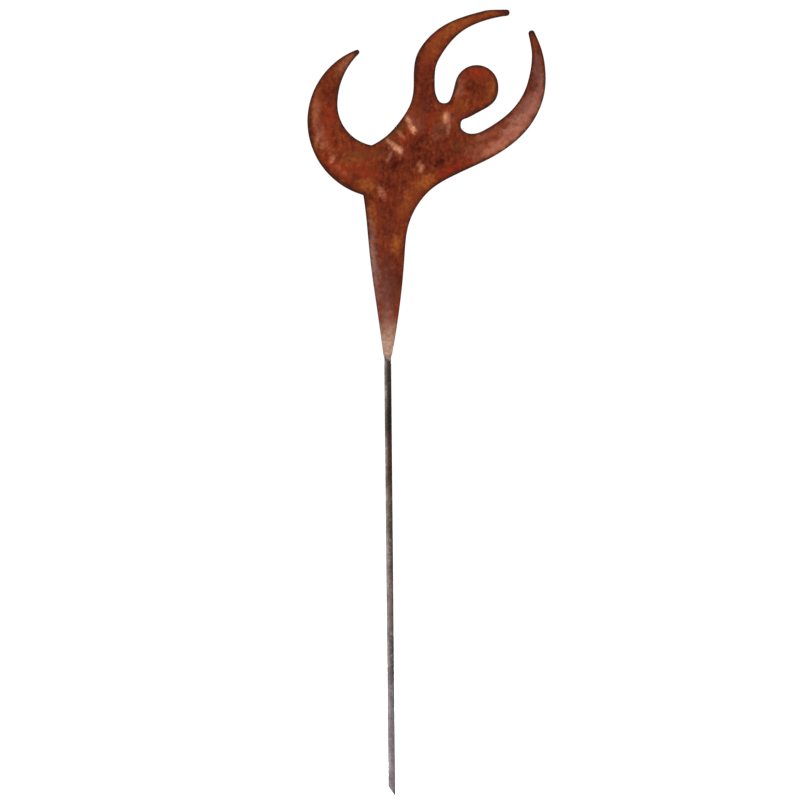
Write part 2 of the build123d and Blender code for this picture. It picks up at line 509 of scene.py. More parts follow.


# %% [markdown]
# The front's tones, patch by patch. Broad maroon lies over waist and stem, and orange and red lie
# on the arms and the crescent. The right arm has rosy dust with a painted sheen. The mauve tone is
# a painted highlight along the stem's left edge and on the right arm. The pale flecks are places
# where a flake of rust came off, and the sooty ones are the tips, which got hottest in the cut.

# %% The tones on the front
front_tones = {
    "orange": [(46, 281, 20, 7, 62, 0.32), (62, 296, 18, 6, 40, 0.60),
               (84, 305, 22, 5, 18, 0.30), (97, 238, 13, 6, 80, 0.50),
               (66, 224, 10, 6, 20, 0.25), (35, 156, 11, 6, 40, 0.75),
               (-17, 154, 10, 7, -30, 0.60), (9, 101, 11, 5, 80, 0.70),
               (-36, 264, 18, 6, 48, 0.55), (-57, 189, 9, 6, 0, 0.15),
               (-66, 224, 16, 4, 86, 0.35), (134, 275, 12, 3, 100, 0.30),
               (-12, 125, 16, 4, 95, 0.45), (18, 138, 14, 5, 60, 0.40),
               (-30, 178, 14, 7, 0, 0.35), (52, 216, 8, 5, 60, 0.35), (-3, 196, 10, 5, 30, 0.30),
               (70, 204, 5, 4, 90, 0.4)],
    "red": [(-50, 219, 10, 6, 80, 0.55), (-43, 170, 18, 8, -35, 0.60), (84, 254, 12, 6, 0, 0.55),
            (42, 270, 14, 6, 75, 0.22), (60, 168, 22, 5, 24, 0.60), (0, 143, 9, 7, 60, 0.35),
            (58, 222, 7, 5, 0, 0.40), (-22, 166, 16, 7, -20, 0.45), (74, 182, 14, 7, 20, 0.20),
            (40, 210, 10, 5, 70, 0.35), (20, 196, 12, 6, 40, 0.30), (-52, 200, 12, 6, 90, 0.35)],
    "maroon": [(30, 182, 42, 21, 20, 0.55), (-48, 250, 24, 10, 60, 0.50),
               (36, 246, 28, 10, 95, 0.60), (0, 138, 24, 16, 90, 0.45),
               (0, 60, 40, 12, 90, 0.25), (30, 188, 18, 10, 75, 0.90),
               (48, 174, 12, 7, 20, 1.00), (8, 173, 12, 9, 80, 0.90), (40, 168, 8, 6, 0, 0.70),
               (1, 151, 11, 9, 0, 0.65), (81, 241, 14, 11, 20, 0.65), (-42, 180, 5, 4, 0, 0.80),
               (20, 178, 20, 14, 0, 0.50), (4, 134, 14, 8, 90, 0.50), (10, 77, 18, 4, 95, 0.60),
               (38, 232, 22, 7, 95, 0.60), (-48, 243, 16, 8, 60, 0.50),
               (58, 184, 12, 8, 0, 0.40), (28, 205, 10, 6, 90, 0.40),
               (-40, 232, 10, 4, 90, 0.35), (62, 244, 6, 3, 70, 0.35),
               (0, 118, 14, 8, 90, 0.40)],
    "violet": [(-9, 86, 22, 6, 95, 0.65), (-12, 108, 14, 5, 95, 0.55),
               (138, 254, 16, 6, 100, 0.75), (2, 64, 34, 10, 92, 0.70),
               (36, 222, 14, 7, 80, 0.40), (0, 118, 18, 8, 90, 0.30),
               (120, 216, 10, 5, 45, 0.10)],
    # rosy: dust, and on the right arm a painted sheen
    "rosy_dust_and_sheen": [(118, 203, 27, 10, 42, 0.88), (102, 188, 24, 8, 28, 0.85),
             (133, 222, 20, 8, 58, 0.60), (141, 240, 14, 5, 84, 0.40),
             (-62, 222, 18, 4, 88, 0.40), (-58, 200, 14, 5, -65, 0.35),
             (67, 240, 9, 5, 80, 0.40), (92, 199, 16, 5, 25, 0.35), (46, 200, 10, 5, 80, 0.20),
             (84, 184, 14, 8, 20, 0.35), (1, 26, 22, 7, 90, 0.38), (-13, 92, 14, 3, 97, 0.40),
             (26, 210, 12, 6, -50, 0.25), (8, 188, 12, 6, -40, 0.25), (56, 212, 8, 6, 70, 0.30)],
    "pale": [(20.2, 213, 8.0, 2.4, -62, 0.65), (24.4, 204.6, 5.5, 3.4, -55, 1.00),
             (5.2, 191.4, 6.0, 2.3, -40, 0.60), (11.0, 186.4, 5.5, 3.2, -42, 1.00),
             (54.7, 214.0, 5.5, 3.2, 84, 0.75), (56.6, 205, 8, 2.4, 85, 0.28),
             (32.0, 168.5, 4.5, 2.6, 60, 0.50), (30, 173, 4, 2.0, 50, 0.25),
             (-48.5, 177, 4.6, 2.2, 70, 0.48), (-57, 190, 4.4, 2.4, 80, 0.25),
             (3, 179, 6, 2.0, 60, 0.35), (-4, 147, 8, 3.6, -70, 0.30),
             (-37, 165, 5, 3.0, -40, 0.12), (14, 199, 6, 2.4, -50, 0.30),
             (-62, 196, 6, 2.6, 80, 0.25), (66, 248, 5, 2.2, 60, 0.25),
             (-44, 171, 4, 2.4, -40, 0.14)],
    # mauve on the front: a painted highlight along the stem's left edge and on the right arm
    "mauve_tint_and_highlight": [(-12.5, 84, 46, 5.5, 96, 0.38), (-2, 52, 30, 7, 92, 0.14),
              (138, 254, 22, 6, 98, 0.14), (-34, 264, 14, 5, 50, 0.15),
              (128, 222, 34, 11, 52, 0.20)],
    "blotched": [(28, 184, 46, 28, 20, 1.00), (-46, 190, 34, 24, -40, 0.75),
                 (0, 145, 26, 20, 0, 0.80), (0, 100, 40, 16, 90, 0.55),
                 (40, 232, 24, 12, 95, 0.50), (82, 240, 24, 22, 0, 0.40),
                 (-46, 245, 26, 14, 60, 0.45), (70, 186, 26, 14, 20, 0.55)],
    "olive": [(9.6, 204, 12, 3.5, 42, 0.75), (51.7, 205, 8, 4.5, 85, 0.45),
              (-8, 182, 9, 5, 0, 0.35), (67, 188, 9, 6, 20, 0.40), (-25, 181, 12, 5, 10, 0.35),
              (8, 60, 18, 3, 97, 0.45), (80, 192, 10, 4, 10, 0.30)],
    "soot_and_shade": [(113, 308, 6, 4, 0, 1.0), (132, 291, 4, 5, 90, 1.0), (-24, 275, 6, 5, 40, 1.0)],
}
print("patches on the front:", {name: len(patches) for name, patches in front_tones.items()})


# %% [markdown]
# The back gets patches of its own. Along the rod a dark strip is painted as shade, where the rod
# lies against the plate, and the heat of welding has left sooty halos round the beads.

# %% The tones on the back, and painting the plate
rod_low, rod_high = box_in_mm("stake_rod")
lap_height = rod_high[2] - plate_low[2]   # the rod reaches this far up behind the stem

back_tones = {
    "orange": [(-45, 192, 14, 6, -50, 0.54), (60, 180, 16, 7, 20, 0.48),
               (84, 245, 9, 6, 30, 0.48), (36, 270, 18, 5, 80, 0.54),
               (120, 222, 16, 5, 50, 0.48), (-9, 96, 22, 3, 94, 0.54),
               (9, 84, 18, 2.5, 86, 0.42), (14, 196, 9, 6, 40, 0.36)],
    "red": [(-55, 230, 12, 5, 75, 0.48), (30, 165, 12, 5, 30, 0.48), (92, 232, 7, 5, 0, 0.36),
            (132, 262, 12, 4, 100, 0.42)],
    "maroon": [(15, 178, 18, 9, 30, 0.8), (-30, 168, 12, 6, -20, 0.7), (76, 190, 10, 6, 0, 0.7),
               (48, 283, 12, 4, 60, 0.6), (0, 118, 16, 10, 90, 0.6)],
    "violet": [(0, 75, 20, 9, 90, 0.52), (102, 200, 14, 5, 35, 0.52),
               (-62, 212, 12, 4, 90, 0.45)],
    "rosy_dust_and_sheen": [(88, 306, 16, 4, 12, 0.42), (40, 215, 12, 8, 60, 0.36), (-40, 262, 12, 4, 55, 0.36),
             (3, 150, 14, 8, 0, 0.30)],
    "mauve_tint_and_highlight": [(96, 204, 26, 8, 35, 0.20), (-56, 236, 20, 8, 65, 0.20),
              (8, 122, 30, 9, 80, 0.14)],
    "blotched": [(24, 184, 50, 30, 10, 1.0), (-44, 200, 40, 24, -50, 0.7),
                 (0, 120, 40, 16, 90, 0.6), (84, 240, 24, 22, 0, 0.6),
                 (44, 262, 40, 14, 70, 0.5)],
    "pale": [(34, 206, 4, 2.2, 30, 0.52), (52, 190, 3, 2, 0, 0.45), (-50, 205, 4, 2, 70, 0.45),
             (22, 168, 3, 1.6, 50, 0.45), (128, 240, 4, 1.6, 60, 0.39),
             (86, 254, 3, 2, 0, 0.33)],
    "olive": [(44, 200, 9, 4, 40, 0.48), (-20, 182, 8, 4, 0, 0.40), (68, 214, 6, 3, 80, 0.40)],
    # the first patch is painted shade along the rod; the others are soot
    "soot_and_shade": [(0, 42, 26, 8, 90, 0.9), (0, lap_height + 3, 8, 7, 90, 1.0),
              (113, 308, 6, 4, 0, 1.0), (132, 291, 4, 5, 90, 1.0), (-24, 275, 5, 4, 40, 1.0)],
}

on_front = plate_places[:, 1] < halfway
paints = {}
for number, name in enumerate(front_tones):
    ragged = 0.34 if name == "pale" else 0.45
    amounts = np.where(on_front, sponge(plate_places, front_tones[name], 11 + number, ragged),
                       sponge(plate_places, back_tones[name], 31 + number, ragged))
    paints[name] = amounts
    print(f"{name}: {np.mean(amounts > 0.3):.0%} of the plate")


# %% [markdown]
# Four more amounts are painted. The rim is the distance to the cut, stretched towards the stem's
# foot so that the dark rim thins out there, and shortened where the cut ran hot and slow. The
# others are the place along the cut, the cut wall itself, and a strip above the foot that gets
# paler towards the foot.

# %% The rim, the wall and the dressed foot
edge_finder = finder(cut_line)
stem_height = plate_places[:, 2] - plate_low[2]
scorched = sponge(plate_places, [(-44, 160, 34, 10, -42, 1.0), (101, 238, 14, 6, 95, 0.7),
                                 (-68, 205, 40, 6, 88, 0.8), (-40, 222, 30, 5, -70, 0.6),
                                 (88, 222, 20, 5, 28, 0.7), (98, 206, 30, 5, 36, 0.3),
                                 (30, 262, 30, 6, 78, 0.9), (47, 256, 24, 5, 88, 0.9),
                                 (64, 242, 14, 4, 80, 0.5), (-38, 250, 20, 4, 60, 0.5),
                                 (60, 162, 40, 5, 26, 0.6)], 57, 0.2)
to_cut = distance_to(edge_finder, plate_places[:, [0, 2]])
paints["rim"] = to_cut * (1 - 0.6 * scorched) + 2.4 * (1 - ease(stem_height, 15, 130))
paints["along"] = np.r_[np.tile(along_cut, len(rows)), np.zeros(2 * len(sown))]
wall_amount = [float(0.2 < depth < thickness - 0.1 and inset < 0.2) for inset, depth in row_plan]
paints["wall"] = np.r_[np.repeat(wall_amount, ring), np.zeros(2 * len(sown))]
paler_up_to = 41                         # above the stem's foot, and only on the front
frayed = stem_height + 6 * uneven(plate_places, 8, seed=51)
# the front gets paler towards the stem's foot
paints["dressed"] = np.where(on_front, 1 - ease(frayed, 0, paler_up_to), 0.0)
plate = make_piece("figure_plate_rusted", plate_places, plate_faces, **paints)


# %% [markdown]
# ## The rod
# Quarter-inch round bar, cropped on a slant so that it goes into the soil. It is a stack of
# rings. The lowest rings tilt into the slant of the cropped foot; the upper end is ground slightly
# thinner, where it lies behind the plate, and has a broken edge.

# %% Rings of the rod
rod_radius = rod_high[0]
lap_radius = -plate_back                  # the plate's back touches the ground part of the rod
weld_foot_low, weld_foot_high = box_in_mm("weld_foot")
shoulder = weld_foot_low[2] - 2.3         # the full-size rod ends here
crop_angle = math.radians(55)
crop_rise = 2 * rod_radius * math.tan(crop_angle)
ring_spacing = 1.25
level_above = rod_low[2] + 20             # from here up the rings are level
sides = 44
turn = np.linspace(0, 2 * math.pi, sides, endpoint=False)


def crop_height(x):
    """Height of the slanted foot: lowest on the right."""
    return rod_low[2] + (rod_radius - x) * crop_rise / (2 * rod_radius)


def rod_ring(height, radius):
    """One ring of places. Near the foot it tilts into the slant, bit by bit."""
    x, y = radius * np.cos(turn), radius * np.sin(turn)
    z = np.full(sides, float(height))
    if height < level_above:
        share = (height - rod_low[2]) / (level_above - rod_low[2])
        z = crop_height(x) + share * (level_above - crop_height(x))
    return np.c_[x, y, z]


ring_plan = [(height, rod_radius) for height in np.arange(rod_low[2], shoulder, ring_spacing)]
ring_plan += [(shoulder + rise, lap_radius + (rod_radius - lap_radius) * left)
              for rise, left in ((0, 0.9), (0.3, 0.4), (0.6, 0.0))]
ring_plan += [(height, lap_radius)
              for height in np.arange(shoulder + 1.5, rod_high[2] - 0.7, ring_spacing)]
ring_plan += [(rod_high[2] - 0.5, lap_radius), (rod_high[2] - 0.2, lap_radius - 0.25),
              (rod_high[2], lap_radius - 0.55), (rod_high[2], lap_radius * 0.5)]
rings = np.array([rod_ring(height, radius) for height, radius in ring_plan])
print(f"rod: {len(rings)} rings of {sides} places")


# %% [markdown]
# A plain cylinder would do for new bar, but bar that has lived in a flower bed is pitted, most of
# all below ground, and it has a few dents from the hammer. Each place moves inwards by the sum of
# a rough skin, pits and dents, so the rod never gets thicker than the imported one.

# %% Pit and dent the rod
skin_depth, dent_depth = 0.035, 0.22
pit_above, pit_below = 0.12, 0.67         # how deep a pit can be over and under the soil
rod_shell = rings.reshape(-1, 3)
ground = 1 - ease(rod_shell[:, 2], -30, 25)
skin = skin_depth * (0.5 + 0.5 * uneven(rod_shell, 5, seed=61))
pits = (pit_above + (pit_below - pit_above) * ground) \
    * np.clip(uneven(rod_shell, 3.0, seed=62) - 0.15, 0, 1)
dents = dent_depth * np.clip(uneven(rod_shell, 14, seed=63, octaves=1) - 0.45, 0, 1)
shrink = 1 - (skin + pits + dents) / rod_radius
rod_shell[:, :2] *= shrink[:, None]
print(f"rod: deepest pit {(1 - shrink.min()) * rod_radius:.2f} mm")


# %% [markdown]
# The shears that cropped the bar dragged some metal along, so the slanted foot is not a clean
# flat: it is slightly hollow and crumbles towards its edge. Three smaller rings make that hollow.
# The upper end, which nobody sees, is closed with a plain cap.

# %% Close the rod's ends
hollow = 0.25
foot_rings = []
for share in (0.90, 0.62, 0.32):
    inner = rings[0] * (share, share, 1)
    inner[:, 2] = crop_height(inner[:, 0]) + hollow * (1 - share**2) \
        + 0.10 * uneven(inner, 1.8, seed=64)
    foot_rings.append(inner)
rod_places = np.vstack([rod_shell, *foot_rings,
                        [(0, 0, crop_height(0) + hollow)], [(0, 0, rod_high[2])]])

foot_start = len(rod_shell)
top_ring = foot_start - sides
foot_middle, top_middle = len(rod_places) - 2, len(rod_places) - 1
rod_faces = []
for start in range(0, top_ring, sides):
    rod_faces += strip(start, start + sides, sides)
outer = 0
for inner in range(foot_start, foot_middle, sides):
    rod_faces += strip(inner, outer, sides)
    outer = inner
rod_faces += cap(outer, foot_middle, sides, turned=True)
rod_faces += cap(top_ring, top_middle, sides)

stem_foot = plate_low[2]
behind = ease(rod_places[:, 2], stem_foot + 1, stem_foot + 4)   # the part that the stem hides
rod = make_piece("stake_rod_scaled", rod_places, rod_faces, lap=behind)


# %% [markdown]
# ## The weld beads
# Four short beads hold the rod to the back of the plate, and one runs across its upper end. A
# bead is laid down as a row of small melts, each one freezing over the last, like coins pushed
# over. So a bead is a capsule whose radius swells with every melt. The ripples are bent: they
# trail behind at the bead's flanks. Both ends taper off.

# %% Ripples of a bead
bead_radius = 1.9
melt_spacing, melt_depth = 1.25, 0.09     # the depth is a share of the radius
melt_lag = 0.55                           # how far a ripple trails behind at the flanks
around, steps = 36, 90


def lay_bead(start, end, crest, seed):
    """start and end are the bead's tips, crest the direction in which its top looks."""
    start, end = np.array(start, float), np.array(end, float)
    crest = np.array(crest, float) / np.linalg.norm(crest)
    length = np.linalg.norm(end - start)
    forward = (end - start) / length
    flank = np.cross(forward, crest)
    places = []
    for way in np.linspace(0.004, 0.996, steps) * length:
        tip = min(way, length - way)
        body = bead_radius if tip > bead_radius else \
            math.sqrt(max(bead_radius**2 - (bead_radius - tip)**2, 0))
        for angle in np.linspace(0, 2 * math.pi, around, endpoint=False):
            trailing = way + melt_lag * (1 - math.cos(angle))
            melt = 0.5 + 0.5 * math.cos(2 * math.pi * trailing / melt_spacing)
            radius = body * (1 - melt_depth * (1 - melt**2))
            places.append(start + forward * way
                          + radius * (math.cos(angle) * crest + math.sin(angle) * flank))
    places = np.array(places)
    centre_line = start + np.outer((places - start) @ forward, forward)
    lumpy = 1 - 0.05 * (0.5 + 0.5 * uneven(places, 1.6, seed))
    places = centre_line + (places - centre_line) * lumpy[:, None]
    last_ring, first, last = len(places) - around, len(places), len(places) + 1
    faces = []
    for ring_start in range(0, last_ring, around):
        faces += strip(ring_start, ring_start + around, around)
    faces += cap(0, first, around, turned=True) + cap(last_ring, last, around)
    return np.vstack([places, [start], [end]]), faces


# %% [markdown]
# Welding spits. Around every bead a few drops have landed and frozen, flattened where they
# touch. They belong to the bead that spat them, so they are part of its mesh.

# %% Drops of spatter round a bead
def add_spatter(places, faces, centre, count, seed):
    """Half-buried drops on the plate's back, round the centre of a bead."""
    chance = np.random.default_rng(seed)
    for _ in range(count):
        far = chance.uniform(2.6, 9.0)
        angle = chance.uniform(0, 2 * math.pi)
        size = chance.uniform(0.16, 0.42)
        x, z = centre[0] + far * math.cos(angle), centre[1] + 1.6 * far * math.sin(angle)
        inside = edge_finder.find((x, z, 0))
        nearest_edge = cut_line[inside[1]]
        to_edge = (nearest_edge - (x, z)) @ outward[inside[1]]
        if to_edge < 1.2 or abs(x) < lap_radius + size:
            continue
        drop = bmesh.new()      # sits a little in the plate and is flatter than a ball
        bmesh.ops.create_icosphere(drop, subdivisions=2, radius=size)
        base = len(places)
        places = np.vstack([places, [(x + v.co.x, plate_back - 0.1 + 0.75 * v.co.y, z + v.co.z)
                                     for v in drop.verts]])
        faces += [[base + v.index for v in face.verts] for face in drop.faces]
        drop.free()
    return places, faces


# %% [markdown]
# Two stitches on each side lie in the corner between rod and plate, and look outwards. The fifth
# bead lies across the rod's upper end and looks up and back. Where each begins and ends is read
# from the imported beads.

# %% Lay the five beads
bead_offset = 0.5                         # from rod or plate to the middle of a bead
spits = 12                                # drops tried round each bead; not all land on steel
bead_pieces = {}
for number, (side, end) in enumerate([("left", "upper"), ("left", "lower"),
                                      ("right", "upper"), ("right", "lower")]):
    node_name = f"weld_{side}_{end}"
    low, high = box_in_mm(node_name)
    sign = -1 if side == "left" else 1
    x, y = sign * (lap_radius + bead_offset), plate_back + bead_offset
    places, faces = lay_bead((x, y, low[2]), (x, y, high[2]), (sign, 1.3, 0), 70 + number)
    places, faces = add_spatter(places, faces, (x, (low[2] + high[2]) / 2), spits, 80 + number)
    bead_pieces[node_name] = make_piece(node_name + "_bead", places, faces)

low, high = box_in_mm("weld_top")
y, z = plate_back + bead_offset, rod_high[2] + bead_offset
places, faces = lay_bead((-lap_radius, y, z), (lap_radius, y, z), (0, 1, 1), 75)
places, faces = add_spatter(places, faces, (0, high[2] + 2), spits, 85)
bead_pieces["weld_top"] = make_piece("weld_top_bead", places, faces)


# %% [markdown]
# ## The dressed weld in front
# Where the stem's foot stands proud of the rod, the step was filled with weld and then ground
# to a smooth ramp, because this one is seen. It is half an egg, cut off by the stem above and
# buried in the rod behind, and a little uneven, as a disc in the hand leaves it.

# %% Build the ramp under the stem
half_width, proud = weld_foot_high[0], -weld_foot_low[1]
drop = stem_foot - weld_foot_low[2] + 0.8
bands, slices = 30, 40
upright, rise = 5, 0.24                   # the first bands stand straight up, behind the stem
ramp_places = []
for band in range(bands):
    sink = math.sin(math.pi / 2 * max(band - upright, 0) / (bands - upright))
    swell = math.sqrt(max(1 - sink**2, 0.0))
    z = stem_foot - drop * sink + rise * max(upright - band, 0)
    for angle in np.linspace(0, 2 * math.pi, slices, endpoint=False):
        ramp_places.append((half_width * swell * math.cos(angle),
                            proud * swell * math.sin(angle), z))
ramp_places = np.array(ramp_places)
ramp_places[:, 1] = np.minimum(ramp_places[:, 1], 0.5)
hug = ease(ramp_places[:, 1], -3.0, 0.3)  # at the back it runs out into the rod's flanks
ramp_places[:, 0] *= 1 - hug * (1 - (lap_radius - 0.1) / half_width)
flats = 1 - 0.045 * (0.5 + 0.5 * uneven(ramp_places, 2.2, seed=91, octaves=2))
ramp_places[:, :2] *= flats[:, None]

lowest_band, upper_end, lower_end = (bands - 1) * slices, bands * slices, bands * slices + 1
ramp_places = np.vstack([ramp_places, [(0, -1.0, ramp_places[0, 2])],
                         [(0, 0, stem_foot - drop)]])
ramp_faces = cap(0, upper_end, slices) + cap(lowest_band, lower_end, slices, turned=True)
for start in range(0, lowest_band, slices):
    ramp_faces += strip(start + slices, start, slices)
bead_pieces["weld_foot"] = make_piece("weld_foot_dressed", ramp_places, ramp_faces)


# %% [markdown]
# ## Tools for materials
# A material is a bigger network. These helpers do sums, stretch a value to another range, and
# blend colours. Colours are written as they look on a screen, from 0 to 255, and turned into the
# linear values that Blender works with.

# %% Helpers for sums and colours
def tone(red, green, blue):
    """A colour as it is seen on a screen, as linear light."""
    shares = [part / 255 for part in (red, green, blue)]
    return (*[s / 12.92 if s < 0.04045 else ((s + 0.055) / 1.055) ** 2.4 for s in shares], 1.0)


def maths(tree, kind, *values, clamp=False):
    """One number from a Math node of that kind."""
    return add(tree, "Math", list(enumerate(values)), operation=kind, use_clamp=clamp).outputs[0]


def blend_colours(tree, amount, below, above, kind="MIX"):
    """The colour above over the colour below, as much of it as amount says."""
    made = add(tree, "Mix", data_type="RGBA", blend_type=kind, clamp_factor=True)
    for name, value in (("Factor_Float", amount), ("A_Color", below), ("B_Color", above)):
        plug(tree, next(s for s in made.inputs if s.identifier == name), value)
    return next(s for s in made.outputs if s.identifier == "Result_Color")


def between(tree, value, start, end, low=0.0, high=1.0):
    """value, stretched so that start gives low and end gives high, and held there."""
    return add(tree, "MapRange", [("Value", value), ("From Min", start), ("From Max", end),
                                  ("To Min", low), ("To Max", high)],
               interpolation_type="SMOOTHSTEP").outputs[0]


def product(tree, first, second):
    return maths(tree, "MULTIPLY", first, second)


def shaded(tree, colour, factor):
    """A colour made darker or lighter by a factor."""
    grey = add(tree, "CombineColor", [(0, factor), (1, factor), (2, factor)]).outputs[0]
    return blend_colours(tree, 1.0, colour, grey, "MULTIPLY")


# %% [markdown]
# Rust follows the steel, not the eye, so every pattern is laid out in millimetres on the object
# itself. A cloud is Blender's noise at a given size, and what was painted on the mesh comes in
# through an Attribute node.

# %% Helpers for places and noise
def in_millimetres(tree):
    """The place on the object, in mm. The object sits at the origin, so it never slides."""
    where = add(tree, "TexCoord").outputs["Object"]
    return add(tree, "VectorMath", [(0, where), ("Scale", 1000.0)], operation="SCALE").outputs[0]


def painted(tree, name):
    """The amount that was stored on the mesh under that name."""
    return add(tree, "Attribute", attribute_name=name).outputs["Fac"]


def cloud(tree, place, size, detail=4.0, roughness=0.55, shift=0.0):
    """Noise whose bumps are that many mm wide; a slow change of shift gives another pattern."""
    scale = maths(tree, "DIVIDE", 1.0, size)
    return add(tree, "TexNoise", [("Vector", place), ("W", shift), ("Scale", scale),
                                  ("Detail", detail), ("Roughness", roughness)],
               noise_dimensions="4D").outputs["Fac"]


# %% [markdown]
# An effect that several materials share is a node group: a network in a box, with named sockets on
# its left and right. It is built once, and each material gives it its own sizes and colours.

# %% Helpers for node groups
def new_group(name, takes, gives):
    """A reusable network. takes has (name, kind, value) rows, gives has (name, kind) rows."""
    tree = bpy.data.node_groups.new(name, "ShaderNodeTree")
    for socket_name, kind, value in takes:
        socket = tree.interface.new_socket(socket_name, in_out="INPUT",
                                           socket_type="NodeSocket" + kind)
        if value is not None:
            socket.default_value = value
    for socket_name, kind in gives:
        tree.interface.new_socket(socket_name, in_out="OUTPUT", socket_type="NodeSocket" + kind)
    print("group:", name)
    return tree, tree.nodes.new("NodeGroupInput").outputs, tree.nodes.new("NodeGroupOutput").inputs


def use(tree, group, sockets=()):
    """Place a group in a network and plug its inputs. Gives back its outputs."""
    made = tree.nodes.new("ShaderNodeGroup")
    made.node_tree = group
    for socket, value in sockets:
        plug(tree, made.inputs[socket], value)
    return made.outputs


# %% [markdown]
# ## Effect: mottled rust
# Every steel surface of the stake shares this one. Two clouds of noise mix a deep and a warm tone
# into the body colour, a fine grain makes it powdery, and small pits are darker and lower. A
# wave texture would look regular, and one noise alone would look like fog.

# %% Group: mottled rust
mottle, given, result = new_group(
    "mottled_rust",
    [("Place", "Vector", None), ("Body", "Color", tone(117, 47, 22)),
     ("Deep", "Color", tone(78, 25, 13)), ("Warm", "Color", tone(148, 72, 31)),
     ("Cloud Size", "Float", 12.0), ("Grain Size", "Float", 0.6),
     ("Contrast", "Float", 1.0)],
    [("Color", "Color"), ("Height", "Float"), ("Roughness", "Float")])
big = cloud(mottle, given["Place"], given["Cloud Size"], 3.0)
middle = cloud(mottle, given["Place"], product(mottle, given["Cloud Size"], 0.35), 4.0, 0.6, 3.0)
grain = cloud(mottle, given["Place"], given["Grain Size"], 3.0, 0.7, 7.0)
deep_amount = product(mottle, between(mottle, big, 0.50, 0.72), given["Contrast"])
warm_amount = product(mottle, between(mottle, middle, 0.52, 0.75), given["Contrast"])
colour = blend_colours(mottle, deep_amount, given["Body"], given["Deep"])
colour = blend_colours(mottle, warm_amount, colour, given["Warm"])
colour = shaded(mottle, colour, between(mottle, grain, 0.25, 0.75, 0.81, 1.19))
specks = add(mottle, "TexVoronoi", [("Vector", given["Place"]), ("Scale", 0.42),
                                    ("Randomness", 1.0)], feature="F1").outputs["Distance"]
pit = product(mottle, between(mottle, specks, 0.10, 0.30, 1.0, 0.0),
              between(mottle, middle, 0.42, 0.60))
colour = blend_colours(mottle, product(mottle, pit, 0.6), colour, given["Deep"])
mottle.links.new(colour, result["Color"])
swollen = maths(mottle, "ADD", grain, product(mottle, middle, 0.6))
height = maths(mottle, "SUBTRACT", swollen, pit)
mottle.links.new(height, result["Height"])
mottle.links.new(between(mottle, grain, 0.3, 0.7, 0.70, 0.92), result["Roughness"])


# %% [markdown]
# ## Effect: a sponged tone
# This one lays a tone over the colour below it, as much of it as was painted on the mesh. Fine
# noise decides which grains take it, so a soft painted edge turns into a ragged, powdery one.

# %% Group: sponged tone
sponged, given, result = new_group(
    "sponged_tone",
    [("Place", "Vector", None), ("Below", "Color", tone(120, 54, 30)),
     ("Tone", "Color", tone(200, 140, 110)), ("Amount", "Float", 0.0),
     ("Grain Size", "Float", 1.2), ("Shift", "Float", 0.0), ("Cover", "Float", 0.25)],
    [("Color", "Color"), ("Mask", "Float")])
flake = cloud(sponged, given["Place"], given["Grain Size"], 3.0, 0.6, given["Shift"])
taken = between(sponged, flake, 0.34, 0.64, given["Cover"], 1.10)
mask = maths(sponged, "MULTIPLY", given["Amount"], taken, clamp=True)
sponged.links.new(mask, result["Mask"])
sponged.links.new(blend_colours(sponged, mask, given["Below"], given["Tone"]), result["Color"])


# %% [markdown]
# ## Effect: a dark rim
# Near a burned or sheared edge the steel was hot, and its scale stays dark. The rim's width
# wanders. The distance to the edge comes from the mesh.

# %% Group: dark rim
rimmed, given, result = new_group(
    "dark_rim",
    [("Place", "Vector", None), ("Distance", "Float", 10.0), ("Width", "Float", 1.6)],
    [("Mask", "Float")])
wander = cloud(rimmed, given["Place"], 4.0, 3.0)
reach = product(rimmed, given["Width"], between(rimmed, wander, 0.3, 0.7, 0.5, 1.5))
rim = between(rimmed, maths(rimmed, "DIVIDE", given["Distance"], reach), 1.0, 0.0)
rimmed.links.new(rim, result["Mask"])


# %% [markdown]
# ## Start and end of a material
# Every material here begins with a plain Principled shader, and ends in the same way: a colour, a
# roughness, a relief that bends the light, and how much of a gloss it has. Rust has hardly any.

# %% Helpers for materials
def new_material(name):
    material = bpy.data.materials.new(name)
    material.use_nodes = True
    tree = material.node_tree
    print("material:", name)
    return material, tree, tree.nodes["Principled BSDF"]


def finish_steel(tree, steel, colour, roughness, relief, gloss):
    """relief is a height, how deep it goes in metres, and how much of it is felt."""
    height, depth, strength = relief
    bump = add(tree, "Bump", [("Height", height), ("Distance", depth), ("Strength", strength)])
    for socket, value in (("Base Color", colour), ("Roughness", roughness),
                          ("Normal", bump.outputs[0]), ("Specular IOR Level", gloss)):
        plug(tree, steel.inputs[socket], value)
    print("nodes in it:", len(tree.nodes))


# %% [markdown]
# ## The plate's rust
# The ground coat is mottled rust with faint drips, because the stake stands upright in the rain.
# Where the mesh says that the rust is blotched, three clouds of noise set spots of other tones
# into it. Then the tones that were sponged on the mesh go over it one by one, from the widest to
# the smallest. Each has its own grain size, and its own least cover between the grains.

